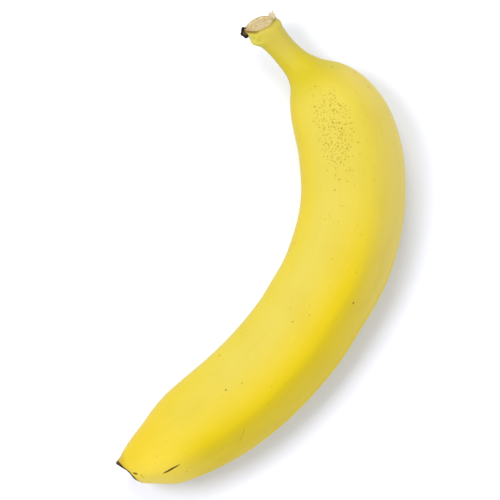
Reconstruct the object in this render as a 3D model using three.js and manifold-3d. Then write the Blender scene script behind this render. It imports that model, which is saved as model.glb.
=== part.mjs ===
// A ripe banana as picked, lying on its side: one grown piece, so one solid.
// Millimetres, +Z up, with Z = 0 the surface that the fruit lies on.
// +Y runs along the chord from the blossom tip to the stem, +X points to the outside of the bend.
//
// The fruit is turned straight on a lathe, then given its ridges and its two oblique ends,
// and bent along its spine. In the straight form +Y runs along the spine from stem to tip,
// +Z points to the outside of the bend and +X to the top of the fruit.

import * as THREE from "three";
import { mergeVertices } from "three/addons/utils/BufferGeometryUtils.js";
import Module from "manifold-3d";

const { clamp, degToRad, lerp, smoothstep } = THREE.MathUtils;

// Spine: the four points of a cubic Bezier. Its height lets the underside touch the surface
// from the shoulder to the tip, while the stem rises off it.
const SPINE_POINTS = [
  [-33.8, 84.0, 19.3],
  [57.8, 50.4, 16.6],
  [15.2, -44.5, 18.9],
  [-32.5, -86.2, 14.7],
];

// Outline: distance along the spine from the stem cut, and half the width there.
const HALF_WIDTHS = [
  [0, 5.6],
  [1.6, 6.2],
  [5, 5.9],
  [10, 5.3],
  [16, 5.3],
  [21, 6.0],
  [25.5, 8.2],
  [30, 11.8],
  [36, 15.1],
  [44, 17.5],
  [56, 19.0],
  [74, 19.4],
  [96, 19.4],
  [118, 18.8],
  [140, 18.6],
  [160, 18.5],
  [176, 17.8],
  [188, 16.2],
  [198, 13.2],
  [206, 9.6],
  [212.1, 5.6],
];

const STEM_RIM = HALF_WIDTHS[0][1];

// Sideways lean of the outline off the spine: the neck sits to the inside, the shoulder and tip outside.
const LEANS = [
  { size: -1.2, at: 18, spread: 10 },
  { size: 0.5, at: 50, spread: 12 },
  { size: 1.3, at: 213, spread: 14 },
];

// Section: a soft five-sided polygon. Angles run from the outside of the bend over the top.
const FACE_ANGLES = [30, 104, 183, 262, 323].map(degToRad);
const RIDGE_SHARPNESS = 6; // higher gives flatter sides and crisper ridges
const HEIGHT_SHARE = 0.97; // height of the body's section over its width

// Share of the body's ridges left at the stem and at the tip, and the stretch where they fade.
const STEM_RIDGES = { share: 0.45, start: 18, end: 52 };
const TIP_RIDGES = { share: 0.6, start: 165, end: 208 };

// Stem cut: oblique, torn across its fibres, with a flap of skin left standing on the outer rim.
const CUT_LEAN = { outer: Math.tan(degToRad(31)), top: Math.tan(degToRad(22)) };
const CUT_REACH = 22; // length of stem over which the slope of the cut dies out
const CUT_RINGS = [0, 0.3, 0.58, 0.82]; // rings on the cut face, as shares of its rim
const TEAR = { depth: 0.6, outer: 1.1, top: 0.6 }; // waves in radians per mm
const FLAP = { height: 3.0, flare: 1.2, root: 2.2, angle: degToRad(-8), spread: degToRad(15) };

// Lip of skin that bulges on the inner side, just below the cut.
const LIP = { size: 0.8, at: 6, spread: 2.5, angle: degToRad(185), width: degToRad(40) };

// Dried scrap of the bunch's crown, left on the inner corner of the cut: top, along and outer.
const SCRAP_PLACE = [-1.4, -1.9, -5.3];
const SCRAP_RADII = [1.5, 2.0, 1.3];
const SCRAP_BUMP = { size: 0.18, along: 3, top: 2 }; // waves in radians per radius

// Blossom tip: a blunt oblique scar with a dent in the middle.
const TIP_LEAN = Math.tan(degToRad(22.5));
const TIP_REACH = 16;
const TIP_RINGS = [
  [0.84, 0.35],
  [0.5, 0.1],
  [0, -0.4],
];

const SIDES = 48;
const RINGS = 76;
const WELD = 1e-4; // vertices closer than this are one

const PEEL_YELLOW = 0xecd94a;

const spine = new THREE.CubicBezierCurve3(...SPINE_POINTS.map((p) => new THREE.Vector3(...p)));
const spineLength = spine.getLength();
const UP = new THREE.Vector3(0, 0, 1);

function bell(offset, spread) {
  return Math.exp(-((offset / spread) ** 2));
}

// Angle between two directions round the spine, from -pi to pi.
function turnBetween(angle, other) {
  return Math.atan2(Math.sin(angle - other), Math.cos(angle - other));
}

// Lathe profile from the middle of the stem cut, over the rim, along the side and into the tip.
function turnedProfile() {
  const side = new THREE.CatmullRomCurve3(
    HALF_WIDTHS.map(([along, half]) => new THREE.Vector3(half, along, 0)),
  );
  const [tipEnd, tipRim] = HALF_WIDTHS.at(-1);
  return [
    ...CUT_RINGS.map((share) => new THREE.Vector2(share * STEM_RIM, 0)),
    ...side.getSpacedPoints(RINGS).map((p) => new THREE.Vector2(p.x, p.y)),
    ...TIP_RINGS.map(([share, dome]) => new THREE.Vector2(share * tipRim, tipEnd + dome)),
  ];
}

// Radius of a polygon with rounded corners, whose sides lie at distance 1.
function softPolygon(angle) {
  const pull = FACE_ANGLES.map((face) => Math.max(0, Math.cos(angle - face)) ** RIDGE_SHARPNESS);
  return pull.reduce((total, p) => total + p, 0) ** (-1 / RIDGE_SHARPNESS);
}

// Reach of the polygon across the bend, so that ridges keep the outline's width and place.
const across = Array.from({ length: 360 }, (_, degree) => {
  const angle = degToRad(degree);
  return softPolygon(angle) * Math.cos(angle);
});
const polygonHalf = (Math.max(...across) - Math.min(...across)) / 2;
const polygonMiddle = (Math.max(...across) + Math.min(...across)) / 2 / polygonHalf;

// Share of the round section that turns five-sided, by distance along the spine.
function ridgeShare(along) {
  const atStem = smoothstep(along, STEM_RIDGES.start, STEM_RIDGES.end);
  const atTip = smoothstep(along, TIP_RIDGES.start, TIP_RIDGES.end);
  return lerp(STEM_RIDGES.share, 1, atStem) * lerp(1, TIP_RIDGES.share, atTip);
}

// The lip's swelling and the flap's share, by distance along the spine and angle round it.
function lipSwelling(along, angle) {
  return LIP.size * bell(along - LIP.at, LIP.spread) * bell(turnBetween(angle, LIP.angle), LIP.width);
}

function flapShare(along, angle) {
  const standing = 1 - smoothstep(along, 0, FLAP.root);
  return standing * bell(turnBetween(angle, FLAP.angle), FLAP.spread);
}

// Shift along the spine that slopes both ends.
function endSlope(along, top, outer) {
  const onStem = 1 - smoothstep(along, 0, CUT_REACH);
  const onTip = smoothstep(along, spineLength - TIP_REACH, spineLength);
  return onStem * (CUT_LEAN.outer * outer + CUT_LEAN.top * top) - onTip * TIP_LEAN * outer;
}

// Ridges and ends, on the straight form.
function shapeStraight(point) {
  const along = point.y;
  const angle = Math.atan2(point.x, point.z);
  const round = Math.hypot(point.x, point.z);
  const ridges = ridgeShare(along);
  const reach = round * lerp(1, softPolygon(angle) / polygonHalf, ridges) + lipSwelling(along, angle);
  const top = reach * Math.sin(angle) * lerp(1, HEIGHT_SHARE, ridges);
  const outer = reach * Math.cos(angle) - round * polygonMiddle * ridges;

  const onRim = smoothstep(round, CUT_RINGS.at(-1) * STEM_RIM, STEM_RIM);
  const flap = onRim * flapShare(along, angle);
  const onCut = along === 0 ? 1 - onRim : 0;
  const tear = onCut * TEAR.depth * Math.sin(TEAR.outer * outer + TEAR.top * top);
  const shift = endSlope(along, top, outer) + tear - FLAP.height * flap;
  return point.set(top, along + shift, outer + FLAP.flare * flap);
}

// Straight form to bent fruit. Past the ends of the spine it runs on straight.
function bend(point) {
  const share = clamp(point.y / spineLength, 0, 1);
  const tangent = spine.getTangentAt(share);
  const outward = new THREE.Vector3().crossVectors(UP, tangent).normalize();
  const lean = LEANS.reduce((sum, { size, at, spread }) => sum + size * bell(point.y - at, spread), 0);
  const bent = spine
    .getPointAt(share)
    .addScaledVector(tangent, point.y - share * spineLength)
    .addScaledVector(outward, point.z + lean)
    .addScaledVector(UP, point.x);
  bent.z = Math.max(bent.z, 0); // the underside lies flat on the surface
  return point.copy(bent);
}

function moveVertices(geometry, move) {
  const positions = geometry.getAttribute("position");
  const point = new THREE.Vector3();
  for (let i = 0; i < positions.count; i++) {
    move(point.fromBufferAttribute(positions, i));
    positions.setXYZ(i, point.x, point.y, point.z);
  }
  return geometry;
}

function fruitBody() {
  const turned = new THREE.LatheGeometry(turnedProfile(), SIDES);
  return moveVertices(moveVertices(turned, shapeStraight), bend);
}

function driedScrap() {
  const lump = new THREE.IcosahedronGeometry(1, 2);
  moveVertices(lump, (p) => {
    const wave = Math.sin(SCRAP_BUMP.along * p.y) * Math.cos(SCRAP_BUMP.top * p.x);
    p.multiplyScalar(1 + SCRAP_BUMP.size * wave);
  });
  lump.scale(...SCRAP_RADII).translate(...SCRAP_PLACE);
  return moveVertices(lump, bend);
}

const wasm = await Module();
wasm.setup();

function toSolid(geometry) {
  const bare = geometry.clone();
  bare.deleteAttribute("normal");
  bare.deleteAttribute("uv");
  const merged = mergeVertices(bare, WELD);
  return new wasm.Manifold(
    new wasm.Mesh({
      numProp: 3,
      vertProperties: merged.getAttribute("position").array,
      triVerts: new Uint32Array(merged.index.array),
    }),
  );
}

function toGeometry(solid) {
  const { vertProperties, triVerts } = solid.getMesh();
  const geometry = new THREE.BufferGeometry();
  geometry.setAttribute("position", new THREE.BufferAttribute(vertProperties, 3));
  geometry.setIndex(new THREE.BufferAttribute(triVerts, 1));
  geometry.computeVertexNormals();
  return geometry;
}

const peel = new THREE.MeshStandardMaterial({
  color: PEEL_YELLOW,
  roughness: 0.5,
  metalness: 0,
});
const banana = new THREE.Mesh(toGeometry(toSolid(fruitBody()).add(toSolid(driedScrap()))), peel);
banana.name = "banana";

const fruit = new THREE.Group();
fruit.add(banana);

export default fruit;
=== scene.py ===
"""A ripe banana lying on its side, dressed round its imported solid.

The fruit is drawn out straight from its stem cut to its tip, shaped, and bent along its spine.
In the straight form X runs along the spine, Y points to the outside of the bend and Z to the top.
Shapes are worked out in millimetres and written to the meshes in metres.
"""

import math

import bpy
import numpy as np
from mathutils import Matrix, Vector, noise


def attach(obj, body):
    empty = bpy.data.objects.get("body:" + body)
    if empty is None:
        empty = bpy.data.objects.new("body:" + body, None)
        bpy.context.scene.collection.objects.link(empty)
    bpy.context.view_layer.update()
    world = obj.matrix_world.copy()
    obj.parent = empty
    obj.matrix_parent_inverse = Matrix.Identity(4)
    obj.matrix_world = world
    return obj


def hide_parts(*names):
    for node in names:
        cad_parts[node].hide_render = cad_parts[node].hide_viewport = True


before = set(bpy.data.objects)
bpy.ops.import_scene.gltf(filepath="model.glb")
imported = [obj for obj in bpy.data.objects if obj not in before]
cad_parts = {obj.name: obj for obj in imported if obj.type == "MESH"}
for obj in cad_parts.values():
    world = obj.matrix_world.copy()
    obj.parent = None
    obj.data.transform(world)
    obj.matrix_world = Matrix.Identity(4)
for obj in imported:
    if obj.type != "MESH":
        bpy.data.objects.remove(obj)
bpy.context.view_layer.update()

MM = 0.001
TOUCHING = 1e-6
SMOOTH_ANGLE = math.radians(60)

# Spine of the fruit: the four points of a cubic Bezier.
SPINE = [(-33.8, 84.0, 19.3), (57.8, 50.4, 16.6), (15.2, -44.5, 18.9), (-32.5, -86.2, 14.7)]
SPINE_STEPS = 240

# Outline: distance along the spine from the stem cut, and half the width there.
HALF_WIDTHS = [
    (0, 5.6), (1.6, 6.1), (5, 5.7), (10, 5.0), (16, 5.0), (21, 5.8), (25.5, 7.9), (30, 11.8),
    (36, 15.3), (44, 17.75), (56, 19.1), (74, 19.4), (96, 19.45), (118, 18.85), (140, 18.6),
    (160, 18.5), (176, 17.85), (188, 16.4), (198, 13.6), (206, 10.2), (212.7, 5.6),
]
STEM_RIM = HALF_WIDTHS[0][1]
TIP_END, TIP_RIM = HALF_WIDTHS[-1]

# Sideways lean of the outline off the spine: size, place along the spine and spread.
LEANS = [(-1.2, 18, 10), (0.5, 50, 12), (-0.5, 119, 8), (-0.5, 185, 18), (1.95, 213, 14)]

# Section: a soft five-sided polygon. Angles run from the outside of the bend over the top.
FACE_ANGLES = np.radians([30, 104, 183, 262, 323])
RIDGE_ANGLES = np.radians([67, 143.5, 222.5, 292.5, 356.5])
RIDGE_SHARPNESS = 6
HEIGHT_SHARE = 0.97
SECTION_STEPS = 721

# How five-sided the section is along the spine, and how far the ridges stand up in a fine crest.
RIDGE_SHARES = [
    (0, 0.45), (18, 0.45), (40, 0.6), (75, 0.66), (120, 1),
    (165, 1), (186, 0.8), (200, 0.5), (213, 0.35),
]
CREST_HEIGHTS = [(0, 0), (75, 0.02), (125, 0.24), (165, 0.24), (190, 0), (213, 0)]
CREST_WIDTH = math.radians(7)

# The ridges underneath and on the outside have a shallow hollow on both sides.
HOLLOW_RIDGES = RIDGE_ANGLES[2:]
HOLLOW_DEPTHS = [(0, 0), (30, 0), (60, 0.55), (165, 0.55), (195, 0), (213, 0)]
HOLLOW_WIDTH = math.radians(24)

# Both ends are oblique: slopes of the cut to the outside and the top, and of the tip to the outside.
CUT_LEAN_OUT, CUT_LEAN_UP = math.tan(math.radians(25.5)), math.tan(math.radians(28))
CUT_START = -0.2
CUT_REACH = 22
TIP_LEAN = math.tan(math.radians(22.5))
TIP_REACH = 16

# Stem: fluted skin, swollen and worn in places. Each swelling has a size, a place along the stem,
# a spread there, and a place and a width round the stem in degrees.
FLUTE_DEPTH, FLUTE_TURN, FLUTE_LENGTH, FLUTE_FADE = 0.22, 3.2, 26, (14, 34)
STEM_SWELLINGS = {
    "lip on the inner side": (1.1, 5.5, 1.6, 172, 42),
    "worn inner corner": (-1.75, 0, 3.0, 195, 45),
    "ear on the outer side": (0.65, 2.2, 1.8, 4, 42),
    "ear underneath": (0.6, 0, 1.3, -47, 16),
}

# Cut of the stem: a torn face of fibre bundles inside an uneven edge of skin. Each change of the edge
# has a size, a place round it and a width in degrees. The face starts between two distances from
# the rim.
EDGE_WAVE, EDGE_WAVE_TURN, EDGE_ROOT = 0.35, 2.4, 2.0
CUT_EDGES = {"tab by the scale": (-1.7, 150, 24), "notch underneath": (0.6, 237, 20)}
CUT_EDGE_ROOT = 1.6
FACE_START = (1.44, 0.54)
TEAR_DEPTH, TEAR_OUT, TEAR_UP = 0.5, 1.1, 0.6
FIBRE_SIZE, FIBRE_DEPTH = 1.15, 0.45
SPLINTER_SIZE, SPLINTER_DEPTH = 0.5, 0.22

# Shred of skin left standing on the outer edge of the cut: its torn outline as pairs of a share
# of its width and a height, then the stretch of edge that it stands on and how it leans and curls.
SHRED_TEETH = [
    (0, 0.1), (0.15, 1.8), (0.23, 1.1), (0.33, 2.7), (0.43, 1.5),
    (0.56, 2.0), (0.66, 1.4), (0.8, 1.8), (1, 0.3),
]
SHRED_START, SHRED_END = math.radians(-20), math.radians(35)
SHRED_RIM, SHRED_ROOT, SHRED_CURL = 5.4, 0.9, 0.05
SHRED_LEAN_START, SHRED_LEAN_END = math.radians(42), math.radians(118)
SHRED_THICKNESS, SHRED_CRINKLE = 0.28, 0.14
SHRED_WIDTH, SHRED_PLEATS = 6, (9, 2)
SHRED_COLUMNS, SHRED_ROWS = 26, 6

# Dried scale of the bunch's crown on the inner corner of the cut: a crumpled cup. Its axes run
# along the edge that it grips and away from the stem, drooping. Its reaches are pairs of an angle
# in degrees and a distance, and its insets pairs of a width and a depth on a disc of radius 1.
SCALE_PLACE = np.array([-1.95, -5.1, -0.9])
SCALE_LONG = np.array([0.841, -0.541, 0.0])
SCALE_WIDE = np.array([-0.466, -0.725, -0.507])
SCALE_REACHES = [
    (0, 2.2), (55, 1.5), (90, 2.0), (130, 1.55), (175, 2.45), (230, 1.5), (290, 1.5), (360, 2.2),
]
SCALE_SIZE, SCALE_SIDES, SCALE_THICKNESS = 2, 24, 0.5
SCALE_CRUMPLE, SCALE_LUMP, SCALE_LUMP_SPREAD = 0.5, 0.7, -5.1
SCALE_INSETS = [(0.12, -0.02), (0.22, -0.16), (0.22, -0.14), (0.2, -0.04)]

# Tip: an uneven dried rim round a sunken, folded scar with a nub where the flower sat. Each change of
# the rim has a size, a place round it and a width in degrees. The scar and its folds start between
# two shares of the rim's radius.
SCAR_DEPTH, SCAR_LUMP, SCAR_ROUGHNESS, SCAR_START = 0.9, 1.3, 0.55, (0.5, 0.9)
TIP_WAVE, TIP_WAVE_TURN = 0.25, 2.2
TIP_ROOT = 2.4
TIP_EDGES = {"beak": (0.8, 160, 28), "dent on top": (-0.55, 98, 28), "rounded outside": (-0.6, 0, 38)}
NUB_HEIGHT, NUB_SIZE, NUB_PLACE = 1.1, 1.1, (-0.6, 0.4)
FOLD_COUNT, FOLD_DEPTH, FOLD_SWAY, FOLD_START = 6, 0.32, 1.4, (0.15, 0.5)

# Unevenness of a grown thing, all over.
LUMP_SIZE, LUMP_HEIGHT = 26, 0.3

# Rings drawn out along the straight fruit, and those inset on its two ends.
SIDES = 48
STATIONS = [
    0, 0.15, 0.5, 1.1,
    *np.arange(2, 36, 2),
    *np.arange(36, 196, 3.2),
    *np.arange(196, 211, 1.8),
    TIP_END - 0.5,
    TIP_END,
]
CUT_INSETS = [0.15, 0.5]
TIP_INSETS = [0.3, 0.5]
CUT_SLOT, TIP_SLOT = 1, 2
FRUIT_LEVELS, SCRAP_LEVELS = 2, 2


# Small sums


def smooth(x, low, high):
    share = np.clip((x - low) / (high - low), 0, 1)
    return share * share * (3 - 2 * share)


def mix(a, b, share):
    return a + (b - a) * share


def bell(offset, spread):
    return np.exp(-((offset / spread) ** 2))


def turn_between(angle, other):
    return np.arctan2(np.sin(angle - other), np.cos(angle - other))


def rough(points, size, seed=0.0):
    """Soft noise from -1 to 1 with lumps of that size."""
    return np.array([noise.noise(Vector(p) / size + Vector((seed, 0, 0))) for p in points])


def curve_through(knots, along):
    """A smooth curve through pairs of a distance along the spine and a value there."""
    at, value = np.array(knots).T
    along = np.clip(along, at[0], at[-1])
    slope = np.gradient(value, at)
    i = np.clip(np.searchsorted(at, along) - 1, 0, len(at) - 2)
    step = at[i + 1] - at[i]
    t = (along - at[i]) / step
    level = value[i] * (1 + 2 * t) * (1 - t) ** 2 + value[i + 1] * t * t * (3 - 2 * t)
    return level + step * t * (1 - t) * (slope[i] * (1 - t) - slope[i + 1] * t)


# Working by hand


def deselect():
    bpy.ops.object.select_all(action="DESELECT")


def select(piece):
    deselect()
    piece.select_set(True)
    bpy.context.view_layer.objects.active = piece


def edit(piece):
    select(piece)
    bpy.ops.object.mode_set(mode="EDIT")


def select_faces(piece, wanted):
    """Selects, in edit mode, the faces whose centre and normal are wanted."""
    bpy.ops.mesh.select_all(action="DESELECT")
    bpy.ops.object.mode_set(mode="OBJECT")
    for face in piece.data.polygons:
        face.select = wanted(face.center, face.normal)
    bpy.ops.object.mode_set(mode="EDIT")


def finish_edit(piece):
    bpy.ops.mesh.select_all(action="SELECT")
    bpy.ops.mesh.remove_doubles(threshold=TOUCHING)
    bpy.ops.mesh.normals_make_consistent(inside=False)
    bpy.ops.object.mode_set(mode="OBJECT")


def apply_modifier(piece, kind, **settings):
    modifier = piece.modifiers.new(kind.lower(), kind)
    for name, value in settings.items():
        setattr(modifier, name, value)
    select(piece)
    bpy.ops.object.modifier_apply(modifier=modifier.name)


def subdivide_smooth(piece, levels):
    apply_modifier(piece, "SUBSURF", levels=levels, render_levels=levels)


def points_of(piece):
    """The piece's points in millimetres."""
    flat = np.empty(len(piece.data.vertices) * 3)
    piece.data.vertices.foreach_get("co", flat)
    return flat.reshape(-1, 3) / MM


def move_points(piece, points):
    piece.data.vertices.foreach_set("co", (points * MM).ravel())
    piece.data.update()


def keep_as_attribute(piece, name, points):
    """Keeps points in the mesh, in millimetres, for the finish to read."""
    attribute = piece.data.attributes.new(name, "FLOAT_VECTOR", "POINT")
    attribute.data.foreach_set("vector", points.ravel())


def shade_smooth(piece):
    select(piece)
    bpy.ops.object.shade_smooth_by_angle(angle=SMOOTH_ANGLE)


def spine_curve():
    bpy.ops.curve.primitive_bezier_curve_add()
    curve = bpy.context.object
    curve.data.resolution_u = SPINE_STEPS
    curve.data.twist_mode = "Z_UP"
    start, end = curve.data.splines[0].bezier_points
    for knot in (start, end):
        knot.handle_left_type = knot.handle_right_type = "FREE"
    start.co, start.handle_right, end.handle_left, end.co = [Vector(p) * MM for p in SPINE]
    start.handle_left = 2 * start.co - start.handle_right
    end.handle_right = 2 * end.co - end.handle_left
    return curve


def bend(piece, spine):
    """Bends a straight piece along the spine and lets its underside lie flat on the surface."""
    points = points_of(piece)
    points[:, 1] += sum(size * bell(points[:, 0] - at, spread) for size, at, spread in LEANS)
    move_points(piece, points)
    apply_modifier(piece, "CURVE", object=spine, deform_axis="POS_X")
    points = points_of(piece)
    points[:, 2] = np.maximum(points[:, 2], 0)
    move_points(piece, points)


# The fruit


def fill_end(fruit, insets, slot):
    """Insets the selected end and fills the rest of it with a grid.

    All of it inside the first inset takes the finish in that slot."""
    fruit.active_material_index = slot
    for i, inset in enumerate(insets):
        bpy.ops.mesh.inset(thickness=inset * MM)
        if i == 0:
            bpy.ops.object.material_slot_assign()
    bpy.ops.mesh.delete(type="ONLY_FACE")
    bpy.ops.mesh.select_non_manifold(extend=False)
    bpy.ops.mesh.fill_grid(span=SIDES // 4, use_interp_simple=True)
    bpy.ops.object.material_slot_assign()


def drawn_fruit():
    """The straight fruit, drawn out ring by ring from its stem cut to its tip.

    Its finishes are the peel, the cut of the stem and the dried tip."""
    deselect()
    bpy.ops.mesh.primitive_circle_add(
        vertices=SIDES, radius=STEM_RIM * MM, fill_type="NGON", rotation=(0, math.pi / 2, 0)
    )
    fruit = bpy.context.object
    fruit.name = fruit.data.name = "banana_fruit"
    for finish in (peel_finish(), cut_finish(), tip_finish()):
        fruit.data.materials.append(finish)
    bpy.ops.object.transform_apply(rotation=True)
    edit(fruit)
    bpy.ops.mesh.select_all(action="SELECT")
    for before, after in zip(STATIONS, STATIONS[1:]):
        step = (after - before) * MM
        growth = curve_through(HALF_WIDTHS, after) / curve_through(HALF_WIDTHS, before)
        bpy.ops.mesh.extrude_region_move(TRANSFORM_OT_translate={"value": (step, 0, 0)})
        bpy.ops.transform.resize(value=(1, growth, growth), center_override=(after * MM, 0, 0))
    fill_end(fruit, TIP_INSETS, TIP_SLOT)
    select_faces(fruit, lambda centre, normal: abs(centre.x) < TOUCHING)
    fill_end(fruit, CUT_INSETS, CUT_SLOT)
    finish_edit(fruit)
    subdivide_smooth(fruit, FRUIT_LEVELS)
    return fruit


def soft_polygon(angle):
    """Radius of a polygon with rounded corners, whose sides lie at distance 1."""
    pull = np.maximum(0, np.cos(angle[:, None] - FACE_ANGLES)) ** RIDGE_SHARPNESS
    return pull.sum(1) ** (-1 / RIDGE_SHARPNESS)


def ridged(along, angle, radius):
    """Turns the round section five-sided. Gives the distances to the outside and to the top."""
    turn = np.linspace(-math.pi, math.pi, SECTION_STEPS)
    across = soft_polygon(turn) * np.cos(turn)
    half, middle = np.ptp(across) / 2, (across.max() + across.min()) / np.ptp(across)
    ridges = curve_through(RIDGE_SHARES, along)
    crest = sum(bell(turn_between(angle, ridge), CREST_WIDTH) for ridge in RIDGE_ANGLES)
    crest = crest * curve_through(CREST_HEIGHTS, along)
    hollow = 0
    for ridge in HOLLOW_RIDGES:
        away = turn_between(angle, ridge)
        hollow = hollow + (1 - bell(away, CREST_WIDTH)) * bell(away, HOLLOW_WIDTH)
    hollow = hollow * curve_through(HOLLOW_DEPTHS, along) * smooth(radius, 0, STEM_RIM)
    reach = radius * mix(1, soft_polygon(angle) / half, ridges) + crest - hollow
    outer = reach * np.cos(angle) - radius * middle * ridges
    return outer, reach * np.sin(angle) * mix(1, HEIGHT_SHARE, ridges)


def swollen(along, angle, radius):
    """Uneven growth of the body and flutes on the stem, as a change of radius."""
    round_places = np.column_stack([along, radius * np.cos(angle), radius * np.sin(angle)])
    lumps = LUMP_HEIGHT * rough(round_places, LUMP_SIZE) * radius / curve_through(HALF_WIDTHS, along)
    flute_places = np.column_stack(
        [along / FLUTE_LENGTH, FLUTE_TURN * np.cos(angle), FLUTE_TURN * np.sin(angle)]
    )
    flutes = FLUTE_DEPTH * rough(flute_places, 1.0) * (1 - smooth(along, *FLUTE_FADE))
    for size, at, spread, turn, width in STEM_SWELLINGS.values():
        around = turn_between(angle, math.radians(turn))
        flutes = flutes + size * bell(along - at, spread) * bell(around, math.radians(width))
    return lumps + flutes * smooth(radius, 0, STEM_RIM)


def torn_cut(along, angle, radius):
    """Depth of the torn fibres on the stem's cut face and the waves of the skin's edge round it."""
    ring = np.column_stack([EDGE_WAVE_TURN * np.cos(angle), EDGE_WAVE_TURN * np.sin(angle), 0 * angle])
    near_cut = 1 - smooth(along, 0, EDGE_ROOT)
    edge = EDGE_WAVE * rough(ring, 1.0, seed=2) * smooth(radius, 0, STEM_RIM)
    for size, turn, width in CUT_EDGES.values():
        around = bell(turn_between(angle, math.radians(turn)), math.radians(width))
        edge = edge + size * around * smooth(radius, STEM_RIM - CUT_EDGE_ROOT, STEM_RIM)
    inside = (along < TOUCHING / MM) * (1 - smooth(radius, *(STEM_RIM - start for start in FACE_START)))
    depth = np.zeros_like(along)
    on_face = inside > 0
    face = np.column_stack([radius * np.cos(angle), radius * np.sin(angle), 0 * angle])[on_face]
    bundles = [noise.voronoi(Vector(p) / FIBRE_SIZE)[0][0] for p in face]
    tear = TEAR_DEPTH * np.sin(TEAR_OUT * face[:, 0] + TEAR_UP * face[:, 1])
    depth[on_face] = FIBRE_DEPTH * np.array(bundles) + SPLINTER_DEPTH * rough(face, SPLINTER_SIZE) + tear
    return near_cut * edge + inside * depth


def dried_tip(along, angle, radius):
    """Reach of the tip's rim and scar past its even end."""
    ring = np.column_stack([TIP_WAVE_TURN * np.cos(angle), TIP_WAVE_TURN * np.sin(angle), 0 * angle])
    at_end = smooth(along, TIP_END - TIP_ROOT, TIP_END)
    on_rim = smooth(radius / TIP_RIM, *SCAR_START)
    edge = TIP_WAVE * rough(ring, 1.0, seed=9)
    for size, turn, width in TIP_EDGES.values():
        edge = edge + size * bell(turn_between(angle, math.radians(turn)), math.radians(width))
    scar = np.column_stack([0 * angle, radius * np.cos(angle), radius * np.sin(angle)])
    nub = NUB_HEIGHT * bell(np.hypot(scar[:, 1] - NUB_PLACE[0], scar[:, 2] - NUB_PLACE[1]), NUB_SIZE)
    sway = FOLD_SWAY * rough(scar, 2 * SCAR_LUMP, seed=6)
    folds = FOLD_DEPTH * np.cos(FOLD_COUNT * angle + sway) * smooth(radius / TIP_RIM, *FOLD_START)
    crust = SCAR_ROUGHNESS * rough(scar, SCAR_LUMP, seed=4)
    sunken = (1 - on_rim) * (crust + folds + nub - SCAR_DEPTH)
    return at_end * (on_rim * edge + sunken)


def on_cut(outer, top):
    """How far along the spine the sloping cut lies there."""
    return CUT_START + CUT_LEAN_OUT * outer + CUT_LEAN_UP * top


def shaped_fruit(turned):
    """Gives the turned fruit its ridges, its unevenness and its oblique ends."""
    along, outer, top = turned.T
    angle = np.arctan2(top, outer)
    radius = np.hypot(top, outer)
    outer, top = ridged(along, angle, radius + swollen(along, angle, radius))
    on_stem = 1 - smooth(along, 0, CUT_REACH)
    on_tip = smooth(along, TIP_END - TIP_REACH, TIP_END)
    slope = on_stem * on_cut(outer, top) - on_tip * TIP_LEAN * outer
    ends = torn_cut(along, angle, radius) + dried_tip(along, angle, radius)
    return np.column_stack([along + slope + ends, outer, top])


def fruit_piece(spine):
    fruit = drawn_fruit()
    turned = points_of(fruit)
    keep_as_attribute(fruit, "turned", turned)
    move_points(fruit, shaped_fruit(turned))
    bend(fruit, spine)
    shade_smooth(fruit)
    return fruit


# Scraps on the stem


def shred_piece(spine):
    """The torn strip of skin: a sheet with a ragged edge, leaning out from the edge of the cut."""
    deselect()
    bpy.ops.mesh.primitive_grid_add(x_subdivisions=SHRED_COLUMNS, y_subdivisions=SHRED_ROWS, size=MM)
    shred = bpy.context.object
    shred.name = shred.data.name = "stem_shred"
    across, up, _ = points_of(shred).T + 0.5
    rise = up * (np.interp(across, *zip(*SHRED_TEETH)) + SHRED_ROOT) - SHRED_ROOT
    angle = mix(SHRED_START, SHRED_END, across)
    pleats = np.column_stack([across, up]) * SHRED_PLEATS
    crinkle = SHRED_CRINKLE * rough(np.column_stack([pleats, 0 * up]), 1.0) * up
    lean = mix(SHRED_LEAN_START, SHRED_LEAN_END, across)
    standing, rooted = np.maximum(rise, 0), np.minimum(rise, 0)
    out = SHRED_RIM + standing * np.sin(lean) + SHRED_CURL * standing**2 + crinkle
    foot = on_cut(SHRED_RIM * np.cos(angle), SHRED_RIM * np.sin(angle))
    straight = np.column_stack(
        [foot - standing * np.cos(lean) - rooted, out * np.cos(angle), out * np.sin(angle)]
    )
    keep_as_attribute(shred, "turned", np.column_stack([rise, SHRED_WIDTH * across, 0 * rise]))
    move_points(shred, straight)
    apply_modifier(shred, "SOLIDIFY", thickness=SHRED_THICKNESS * MM, offset=0)
    subdivide_smooth(shred, SCRAP_LEVELS)
    bend(shred, spine)
    shade_smooth(shred)
    shred.data.materials.append(shred_finish())
    return shred


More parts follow.
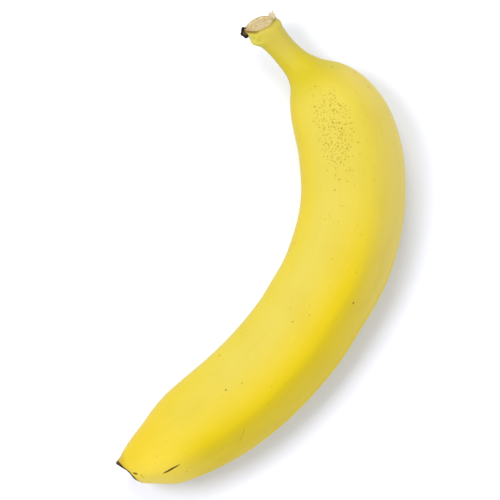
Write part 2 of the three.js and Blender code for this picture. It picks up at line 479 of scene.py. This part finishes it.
def scale_piece(spine):
    """The dried scale: a disc sunk to a cup by insets, thickened and crumpled."""
    deselect()
    bpy.ops.mesh.primitive_circle_add(vertices=SCALE_SIDES, radius=MM, fill_type="NGON")
    scale = bpy.context.object
    scale.name = scale.data.name = "stem_scale"
    edit(scale)
    bpy.ops.mesh.select_all(action="SELECT")
    for thickness, depth in SCALE_INSETS:
        bpy.ops.mesh.inset(thickness=thickness * MM, depth=depth * MM)
    finish_edit(scale)
    apply_modifier(scale, "SOLIDIFY", thickness=SCALE_THICKNESS / SCALE_SIZE * MM, offset=0)
    subdivide_smooth(scale, SCRAP_LEVELS)
    flat = points_of(scale)
    x, y, z = flat.T
    reach = np.interp(np.degrees(np.arctan2(y, x)) % 360, *zip(*SCALE_REACHES))
    crumple = SCALE_CRUMPLE * rough(flat * SCALE_LUMP_SPREAD, SCALE_LUMP)
    deep = np.cross(SCALE_WIDE, SCALE_LONG)
    straight = SCALE_PLACE + np.outer(x * reach, SCALE_LONG) + np.outer(y * reach, SCALE_WIDE)
    straight += np.outer(SCALE_SIZE * z + crumple, deep)
    keep_as_attribute(scale, "turned", SCALE_SIZE * flat)
    move_points(scale, straight)
    bend(scale, spine)
    shade_smooth(scale)
    scale.data.materials.append(scale_finish())
    return scale


# Finishes


class Wire:
    """A value in a finish's node tree. Sums on it add Math nodes."""

    def __init__(self, finish, socket):
        self.finish = finish
        self.socket = socket

    def other(self, name):
        """Another output of the same node."""
        return Wire(self.finish, self.socket.node.outputs[name])

    def __add__(self, value):
        return self.finish.math("ADD", self, value)

    def __sub__(self, value):
        return self.finish.math("SUBTRACT", self, value)

    def __mul__(self, value):
        return self.finish.math("MULTIPLY", self, value)

    def __truediv__(self, value):
        return self.finish.math("DIVIDE", self, value)

    def __rsub__(self, value):
        return self.finish.math("SUBTRACT", value, self)

    __radd__ = __add__
    __rmul__ = __mul__


class Finish:
    """A material under work: its node tree and its shader."""

    def __init__(self, name):
        self.material = bpy.data.materials.new(name)
        self.material.use_nodes = True
        self.tree = self.material.node_tree
        self.shader = self.tree.nodes["Principled BSDF"]

    def feed(self, socket, value):
        if isinstance(value, Wire):
            self.tree.links.new(value.socket, socket)
        else:
            socket.default_value = value

    def node(self, kind, settings, inputs, output=0):
        """Adds a node, sets it up, feeds its sockets and gives one of its outputs."""
        node = self.tree.nodes.new("ShaderNode" + kind)
        for name, value in settings.items():
            setattr(node, name, value)
        for name, value in inputs.items():
            self.feed(node.inputs[name], value)
        return Wire(self, node.outputs[output])

    def set(self, **values):
        """Feeds the shader's sockets, named with _ for a space."""
        for name, value in values.items():
            self.feed(self.shader.inputs[name.replace("_", " ")], value)

    def math(self, operation, a, b):
        return self.node("Math", {"operation": operation}, {0: a, 1: b})

    def most(self, a, b):
        return self.math("MAXIMUM", a, b)

    def fade(self, value, low, high):
        """Runs smoothly from 0 at low to 1 at high."""
        inputs = {"Value": value, "From Min": low, "From Max": high}
        return self.node("MapRange", {"interpolation_type": "SMOOTHSTEP"}, inputs)

    def fade_round(self, angle, low, high):
        """The same between two angles in degrees."""
        return self.fade(angle, math.radians(low), math.radians(high))

    def blend(self, start, end, share):
        """One colour turning into another."""
        return self.node("Mix", {"data_type": "RGBA"}, {0: share, 6: start, 7: end}, output=2)

    def straight(self):
        """The place on the straight piece, in millimetres."""
        return self.node("Attribute", {"attribute_name": "turned"}, {}, output="Vector")

    def split(self, vector):
        x = self.node("SeparateXYZ", {}, {0: vector})
        return x, x.other("Y"), x.other("Z")

    def join(self, x, y):
        return self.node("CombineXYZ", {}, {"X": x, "Y": y})

    def length(self, vector):
        return self.node("VectorMath", {"operation": "LENGTH"}, {0: vector}, output="Value")

    def stretch(self, vector, scale):
        return self.node("VectorMath", {"operation": "MULTIPLY"}, {0: vector, 1: scale})

    def cloud(self, vector, size, detail=2.0):
        """Soft noise from 0 to 1 with lumps of that size."""
        return self.node("TexNoise", {}, {"Vector": vector, "Scale": 1 / size, "Detail": detail})

    def cells(self, vector, size):
        """Distance to the nearest of scattered points, as a share of how far apart they lie."""
        settings = {"voronoi_dimensions": "2D"}
        return self.node("TexVoronoi", settings, {"Vector": vector, "Scale": 1 / size})

    def ruffle(self, vector, size, reach):
        """Places shifted up to that far by soft noise."""
        drift = self.cloud(vector, size).other("Color")
        shift = self.node("VectorMath", {"operation": "SUBTRACT"}, {0: drift, 1: (0.5, 0.5, 0.5)})
        inputs = {0: shift, 1: (2 * reach, 2 * reach, 0), 2: vector}
        return self.node("VectorMath", {"operation": "MULTIPLY_ADD"}, inputs)

    def relief(self, height, depth):
        """Small relief, that many millimetres deep."""
        return self.node("Bump", {}, {"Height": height, "Distance": depth * MM})


DEEP_YELLOW = (0.630, 0.476, 0.005, 1)
# Painted sheen: a paler, bluer yellow for the top of the fruit.
SHEEN_PAINTED_YELLOW = (0.600, 0.490, 0.058, 1)
# Painted reflection: a pale yellow for the upper outer flank.
REFLECTION_PAINTED_YELLOW = (0.655, 0.520, 0.082, 1)
# Painted light: a brighter gold that lifts the shade on the lower outer flank.
FLANK_GOLD_PAINTED_LIGHT = (0.680, 0.515, 0.001, 1)
NECK_YELLOW = (0.530, 0.438, 0.016, 1)
STEM_YELLOW = (0.505, 0.415, 0.058, 1)
LIP_GREEN = (0.575, 0.520, 0.075, 1)
LIP_OLIVE = (0.300, 0.260, 0.020, 1)
TIP_GOLD = (0.655, 0.478, 0.020, 1)
TIP_BRIGHT = (0.800, 0.620, 0.064, 1)
OCHRE = (0.480, 0.330, 0.010, 1)
FRECKLE_BROWN = (0.220, 0.155, 0.002, 1)
SCAR_BROWN = (0.110, 0.060, 0.008, 1)
EDGE_BROWN = (0.215, 0.125, 0.012, 1)
TIP_BROWN = (0.045, 0.024, 0.010, 1)

# Where one yellow gives way to the next: along the spine, and round the fruit in degrees from the top,
# counted to the outside of the bend. The underside keeps one even yellow.
LOWER_BODY, LOWER_FLANK, LOWER_END = (62, 112), (85, 130), (155, 180)
NECK, STEM, LIP, TIP = (37, 26), (22, 11), (11, 5), (180, 204)
PAST_RIDGE, FLANK, INNER_SIDE = (-30, 20), (15, 55), (-36, -66)
STEM_INSIDE, LIP_SIDE, TIP_SIDES = (-5, -50), (-15, -60), (-50, 50)
CUT_CORNER, BEAK_SIDE, TIP_OUTSIDE = (-5, -35), (-20, -60), (22, 75)
# The upper side, which alone takes the painted sheen, the painted reflection and the painted light on
# the flank.
UPPER_SIDE = (132, 84)

# Sizes of the peel's patterns. Streaks and fibres are drawn out along the spine.
MOTTLE_SIZE, STREAK_SIZE, GRAIN_SIZE, BLOTCH_SIZE, RAGGED_SIZE = 15, 1.3, 0.5, 1.1, 1.6
RUB_SIZE, FLECK_SIZE, PEEL_FIBRE_SIZE, PORE_SIZE = 7, 0.8, 0.7, 0.35
STREAK_DRAW, FIBRE_DRAW = (0.06, 1, 1), (0.1, 1, 1)
RUBBED_STRETCH = (25, 50, 185, 205)
PEEL_RELIEF, PEEL_GLOSS = 0.08, 0.15

# Freckles: how far apart they lie, and the oval patch that they crowd in and the tail below it,
# each by its middle and half size along the spine and round it from the top, and its slant.
FRECKLE_GAP = 1.05
FRECKLE_PATCH = (50, -3.6, 18, 7.3, -9)
FRECKLE_TAIL = (72, -4.0, 22, 6, -9)

# Small scars: middle along the spine and round it from the top, length, width, slant and strength.
SCARS = [
    # On top.
    (197.75, 7.1, 8.6, 0.95, -5, 1.0),
    (171.65, 14.65, 4.4, 0.22, 47, 0.55),
    (169.2, 11.8, 4.4, 0.22, 51, 0.55),
    (210.5, 0.9, 2.0, 1.0, -50, 0.9),
    (209.3, 2.6, 1.2, 0.7, 40, 0.35),
    (209.4, 3.7, 1.4, 0.6, 70, 0.3),
    (111.5, 11.7, 0.9, 0.9, 0, 0.85),
    (128.5, -4.1, 0.7, 0.7, 0, 0.5),
    (158.2, -3.0, 0.6, 0.6, 0, 0.5),
    (164.4, -5.1, 0.8, 0.7, 0, 0.7),
    (193.6, 12.9, 0.8, 0.7, 0, 0.45),
    (29.6, 9.1, 0.8, 0.7, 0, 0.5),
    (35.1, 18.1, 0.9, 0.8, 0, 0.45),
    (41.3, 18.8, 0.8, 0.8, 0, 0.45),
    (100.6, -2.9, 0.6, 0.6, 0, 0.4),
    # On the sides and underneath.
    (84, 33, 13, 0.4, 4, 0.3),
    (139, 36, 9, 0.35, -3, 0.3),
    (62, -34, 1.2, 1.0, 0, 0.5),
    (118, -30, 6, 0.3, -9, 0.4),
    (150, 31, 1.3, 0.9, 30, 0.45),
    (104, 42, 0.9, 0.8, 0, 0.5),
    (171, -27, 1.0, 0.8, 0, 0.5),
    (47, 37, 1.1, 0.8, 20, 0.45),
]


def yellow_with_painted_sheen(peel, place, along, angle, upper_side):
    """The peel's yellow: a painted sheen on top, deep past the ridge, a painted reflection on the upper
    outer flank.

    It is duller on the stem, greenish at the lip and golden at the tip."""
    lower = peel.fade(along, *LOWER_BODY)
    lower_flank = peel.fade(along, *LOWER_FLANK)
    past_ridge = peel.fade_round(angle, *PAST_RIDGE) * upper_side
    flank = peel.fade_round(angle, *FLANK) * upper_side
    inner = peel.fade_round(angle, *INNER_SIDE) * upper_side
    # Painted sheen on top, less past the ridge (mostly on the lower body), on the inner side and towards
    # the tip.
    painted_sheen = (1 - past_ridge * (0.1 + 0.9 * lower)) * (1 - inner * (0.85 - 0.7 * lower_flank))
    painted_sheen = painted_sheen * (1 - 0.35 * peel.fade(along, *LOWER_END))
    colour = peel.blend(DEEP_YELLOW, SHEEN_PAINTED_YELLOW, painted_sheen)
    # Painted reflection pales the upper outer flank; further along, painted light turns that flank a
    # brighter gold.
    colour = peel.blend(colour, peel.blend(REFLECTION_PAINTED_YELLOW, FLANK_GOLD_PAINTED_LIGHT, lower_flank), flank)
    colour = peel.blend(colour, NECK_YELLOW, peel.fade(along, *NECK))
    stem_inside = peel.fade_round(angle, *STEM_INSIDE) * upper_side
    colour = peel.blend(colour, STEM_YELLOW, peel.fade(along, *STEM) * (1 - 0.6 * stem_inside))
    lip = peel.fade(along, *LIP) * peel.fade_round(angle, *LIP_SIDE) * upper_side
    colour = peel.blend(colour, LIP_GREEN, lip)
    blotches = peel.fade(peel.cloud(place, BLOTCH_SIZE), 0.5, 0.68)
    colour = peel.blend(colour, LIP_OLIVE, lip * blotches * 0.7)
    tip = peel.blend(TIP_GOLD, TIP_BRIGHT, peel.fade_round(angle, *TIP_SIDES) * upper_side)
    return peel.blend(colour, tip, peel.fade(along, *TIP))


def oval(finish, place, x, y, half_length, half_width, slant=0):
    """Distance from the middle of an oval at x, y: 1 on its edge."""
    inputs = {"Vector": place, "Location": (x, y, 0), "Rotation": (0, 0, math.radians(slant))}
    inputs["Scale"] = (half_length, half_width, 1)
    return finish.length(finish.node("Mapping", {"vector_type": "TEXTURE"}, inputs))


def freckles(peel, on_skin):
    """Specks of all sizes and strengths, crowded in one patch and rare elsewhere."""
    cells = peel.cells(on_skin, FRECKLE_GAP)
    distance = cells * FRECKLE_GAP
    chance, size, strength = peel.split(cells.other("Color"))
    patch = peel.fade(oval(peel, on_skin, *FRECKLE_PATCH), 1.15, 0.6) * 0.92
    tail = peel.fade(oval(peel, on_skin, *FRECKLE_TAIL), 1.1, 0.4) * 0.14
    crowding = patch + tail + 0.006
    speck = peel.fade(distance / (0.24 + 0.34 * size), 1.15, 0.3)
    return speck * peel.fade(chance - crowding, 0.02, -0.02) * (0.2 + 0.46 * strength * strength)


def scars(peel, on_skin):
    """Healed scratches and bruises."""
    worn = 0.0
    for along, around, length, width, slant, strength in SCARS:
        reach = oval(peel, on_skin, along, around, length / 2, width / 2, slant)
        worn = peel.most(worn, peel.fade(reach, 1.15, 0.6) * strength)
    return worn


def rub_marks(peel, place, along, angle, streaks):
    """Faint brown flecks, and wear along the ridges underneath and on the outside."""
    clusters = peel.fade(peel.cloud(place, RUB_SIZE), 0.5, 0.66)
    rubbed = clusters * peel.fade(peel.cloud(place, FLECK_SIZE), 0.52, 0.68)
    for ridge in HOLLOW_RIDGES:
        away = peel.math("ABSOLUTE", angle - turn_between(math.pi / 2, ridge), 0)
        rubbed = peel.most(rubbed, peel.fade_round(away, 4, 0) * peel.fade(streaks, 0.35, 0.65))
    start, full, last, end = RUBBED_STRETCH
    return rubbed * peel.fade(along, start, full) * peel.fade(along, end, last)


def browned_ends(peel, colour, place, along, angle, upper_side):
    """Dries the peel brown along the cut of the stem and round the tip."""
    ragged = peel.cloud(place, RAGGED_SIZE)
    on_corner = peel.fade_round(angle, *CUT_CORNER) * upper_side
    cut_edge = peel.fade(along + ragged * 0.9 - on_corner * 0.35, 1.35, 0.55)
    colour = peel.blend(colour, EDGE_BROWN, cut_edge * (0.45 + 0.5 * on_corner))
    on_beak = peel.fade_round(angle, *BEAK_SIDE) * upper_side
    outside = peel.fade_round(angle, *TIP_OUTSIDE) * upper_side
    smudge = peel.fade(along + on_beak * 3 + ragged * 2, TIP_END - 1.5, TIP_END + 2.5)
    colour = peel.blend(colour, EDGE_BROWN, smudge * 0.35)
    reach = along + ragged * 0.6 + on_beak * 0.5 - outside
    return peel.blend(colour, TIP_BROWN, peel.fade(reach, TIP_END - 0.62, TIP_END - 0.15))


def peel_finish():
    """Ripe peel, freckled and a little scarred, browned along both ends."""
    peel = Finish("peel")
    place = peel.straight()
    along, outer, top = peel.split(place)
    angle = peel.math("ARCTAN2", outer, top)
    on_skin = peel.join(along, angle * peel.length(peel.join(outer, top)))
    upper_side = peel.fade_round(peel.math("ABSOLUTE", angle, 0), *UPPER_SIDE)

    mottle = peel.cloud(place, MOTTLE_SIZE)
    streaks = peel.cloud(peel.stretch(place, STREAK_DRAW), STREAK_SIZE, 3)
    grain = peel.cloud(place, GRAIN_SIZE)
    colour = yellow_with_painted_sheen(peel, place, along, angle, upper_side)
    colour = peel.blend(colour, OCHRE, peel.fade(mottle, 0.45, 0.8) * 0.12)
    colour = peel.blend(colour, OCHRE, peel.fade(streaks, 0.45, 0.8) * 0.09)
    colour = peel.blend(colour, OCHRE, peel.fade(grain, 0.5, 0.75) * 0.07)

    rubbed = rub_marks(peel, place, along, angle, streaks) * (1 - upper_side)
    specks = freckles(peel, on_skin)
    worn = scars(peel, peel.ruffle(on_skin, 0.8, 0.18))
    colour = peel.blend(colour, FRECKLE_BROWN, rubbed * 0.3)
    colour = peel.blend(colour, FRECKLE_BROWN, specks)
    colour = peel.blend(colour, SCAR_BROWN, worn)
    colour = browned_ends(peel, colour, place, along, angle, upper_side)

    fibres = peel.cloud(peel.stretch(place, FIBRE_DRAW), PEEL_FIBRE_SIZE, 3)
    pores = peel.cloud(place, PORE_SIZE, 1)
    relief = fibres * 0.5 + pores * 0.3 - specks * 0.8 - worn
    peel.set(
        Base_Color=colour,
        Roughness=0.4 + mottle * 0.14 + specks * 0.2 + worn * 0.2,
        Specular_IOR_Level=PEEL_GLOSS,
        Normal=peel.relief(relief, PEEL_RELIEF),
    )
    return peel.material


CUT_TAN = (0.500, 0.385, 0.180, 1)
CUT_PALE = (0.590, 0.480, 0.270, 1)
CUT_BROWN = (0.260, 0.165, 0.055, 1)

# Dried sap on the cut: its middle and half size to the outside and to the top.
SAP_SPOT = (3.4, -0.5, 1.1, 0.7)


def cut_finish():
    """Torn, drying stem: pale fibres with darker sap between them."""
    cut = Finish("cut_stem")
    place = cut.straight()
    _, outer, top = cut.split(place)
    face = cut.join(outer, top)
    fibres = cut.cloud(cut.stretch(face, (0.25, 1, 1)), 0.8, 2.5)
    bundles = cut.cells(face, FIBRE_SIZE)
    colour = cut.blend(CUT_TAN, CUT_PALE, cut.fade(fibres, 0.4, 0.65))
    colour = cut.blend(colour, CUT_BROWN, cut.fade(fibres, 0.46, 0.3) * 0.6)
    colour = cut.blend(colour, CUT_BROWN, cut.fade(bundles, 0.25, 0.1) * 0.3)
    sap = cut.fade(oval(cut, face, *SAP_SPOT), 1.3, 0.4)
    colour = cut.blend(colour, CUT_BROWN, sap * 0.6)
    edge = cut.fade(cut.length(face) + cut.cloud(place, 1.4), STEM_RIM - 0.3, STEM_RIM + 0.5)
    colour = cut.blend(colour, EDGE_BROWN, edge * 0.6)
    cut.set(Base_Color=colour, Roughness=0.75 + fibres * 0.2, Specular_IOR_Level=0.2)
    cut.set(Normal=cut.relief(fibres, 0.12))
    return cut.material


ASH_BROWN = (0.105, 0.064, 0.034, 1)


def tip_finish():
    """Dried blossom scar: black-brown and crusty."""
    tip = Finish("dried_tip")
    place = tip.straight()
    crust = tip.cloud(place, 0.9, 4)
    tip.set(Base_Color=tip.blend(TIP_BROWN, ASH_BROWN, tip.fade(crust, 0.4, 0.7)))
    tip.set(Roughness=0.7 + crust * 0.25, Specular_IOR_Level=0.25, Normal=tip.relief(crust, 0.2))
    return tip.material


SCALE_BLACK = (0.014, 0.008, 0.005, 1)
SCALE_BROWN = (0.200, 0.125, 0.055, 1)


def scale_finish():
    """Dried scale: blackened edges round a brown hollow."""
    scale = Finish("dried_scale")
    place = scale.straight()
    x, y, _ = scale.split(place)
    crust = scale.cloud(place, 0.8, 4)
    hollow = scale.fade(scale.length(scale.join(x, y)) + crust * 1.6, 2.1, 1.4)
    scale.set(Base_Color=scale.blend(SCALE_BLACK, SCALE_BROWN, hollow * 0.9))
    scale.set(Roughness=0.65 + crust * 0.3, Specular_IOR_Level=0.3, Normal=scale.relief(crust, 0.15))
    return scale.material


SHRED_CREAM = (0.540, 0.470, 0.300, 1)
SHRED_OLIVE = (0.220, 0.190, 0.090, 1)


def shred_finish():
    """Torn skin: cream fibres, turning olive towards one side and the points."""
    shred = Finish("torn_skin")
    place = shred.straight()
    rise, across, _ = shred.split(place)
    fibres = shred.cloud(shred.stretch(place, (0.25, 1, 1)), 0.35, 3)
    colour = shred.blend(SHRED_CREAM, CUT_TAN, shred.fade(fibres, 0.4, 0.7))
    olive_share = shred.most(shred.fade(across, 4.2, 5.6), shred.fade(rise, 2.2, 3.2) * 0.5)
    colour = shred.blend(colour, SHRED_OLIVE, olive_share * 0.8)
    shred.set(Base_Color=colour, Roughness=0.7 + fibres * 0.2, Specular_IOR_Level=0.25)
    shred.set(Normal=shred.relief(fibres, 0.08))
    return shred.material


# Stage, light and camera


FLOOR_SIZE, CAMERA_REACH = 6, 10
PAPER_WHITE = (0.845, 0.87, 0.98, 1)
FRAME_WIDTH = 185.0
CAMERA_HEIGHT = 1100.0
CAMERA_ROLL = math.radians(16.43)
AIM = Vector((-12.9, 3.4, 18.0))
SENSOR = 36.0
SEEN_RIGHT = Vector((math.cos(CAMERA_ROLL), math.sin(CAMERA_ROLL), 0))
SEEN_UP = Vector((-math.sin(CAMERA_ROLL), math.cos(CAMERA_ROLL), 0))


def seen(right, up, height):
    """A place over the floor, in millimetres from the middle of the view."""
    ground = Vector((AIM.x, AIM.y, 0))
    return (ground + right * SEEN_RIGHT + up * SEEN_UP + Vector((0, 0, height))) * MM


def camera():
    deselect()
    bpy.ops.object.camera_add(location=seen(0, 0, AIM.z + CAMERA_HEIGHT), rotation=(0, 0, CAMERA_ROLL))
    made = bpy.context.object
    made.data.sensor_width = SENSOR
    made.data.lens = SENSOR * CAMERA_HEIGHT / FRAME_WIDTH
    made.data.clip_end = CAMERA_REACH
    bpy.context.scene.camera = made


def soft_light(name, place, size, power):
    deselect()
    bpy.ops.object.light_add(type="AREA", location=place)
    lamp = bpy.context.object
    lamp.name = lamp.data.name = name
    lamp.data.shape = "DISK"
    lamp.data.size = size * MM
    lamp.data.energy = power
    lamp.rotation_euler = (AIM * MM - place).to_track_quat("-Z", "Y").to_euler()
    lamp.visible_camera = False


# Soft lamps: direction in the view, counted from its right over its top, height in degrees and power.
LAMP_DISTANCE, LAMP_SIZE = 1200, 480
LAMPS = {"top_window": (104, 58, 4.1), "left_panel": (167, 62, 6.6), "right_fill": (0, 22, 2.0)}
SKY_STRENGTH = 0.73


def lamp_place(turn, height):
    turn, height = math.radians(turn), math.radians(height)
    level = LAMP_DISTANCE * math.cos(height)
    return seen(level * math.cos(turn), level * math.sin(turn), LAMP_DISTANCE * math.sin(height))


def stage():
    deselect()
    bpy.ops.mesh.primitive_plane_add(size=FLOOR_SIZE, location=(0, 0, 0))
    floor = bpy.context.object
    floor.name = floor.data.name = "floor"
    paper = bpy.data.materials.new("white_paper")
    paper.use_nodes = True
    shader = paper.node_tree.nodes["Principled BSDF"]
    shader.inputs["Base Color"].default_value = PAPER_WHITE
    shader.inputs["Roughness"].default_value = 0.9
    floor.data.materials.append(paper)
    world = bpy.data.worlds.new("studio")
    bpy.context.scene.world = world
    world.use_nodes = True
    world.node_tree.nodes["Background"].inputs["Color"].default_value = (1, 1, 1, 1)
    world.node_tree.nodes["Background"].inputs["Strength"].default_value = SKY_STRENGTH
    for name, (turn, height, power) in LAMPS.items():
        soft_light(name, lamp_place(turn, height), LAMP_SIZE, power)
    bpy.context.scene.view_settings.view_transform = "Standard"


camera()
stage()
spine = spine_curve()
fruit = fruit_piece(spine)
for piece in (fruit, shred_piece(spine), scale_piece(spine)):
    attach(piece, "root")
    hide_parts("banana")
bpy.data.objects.remove(spine)
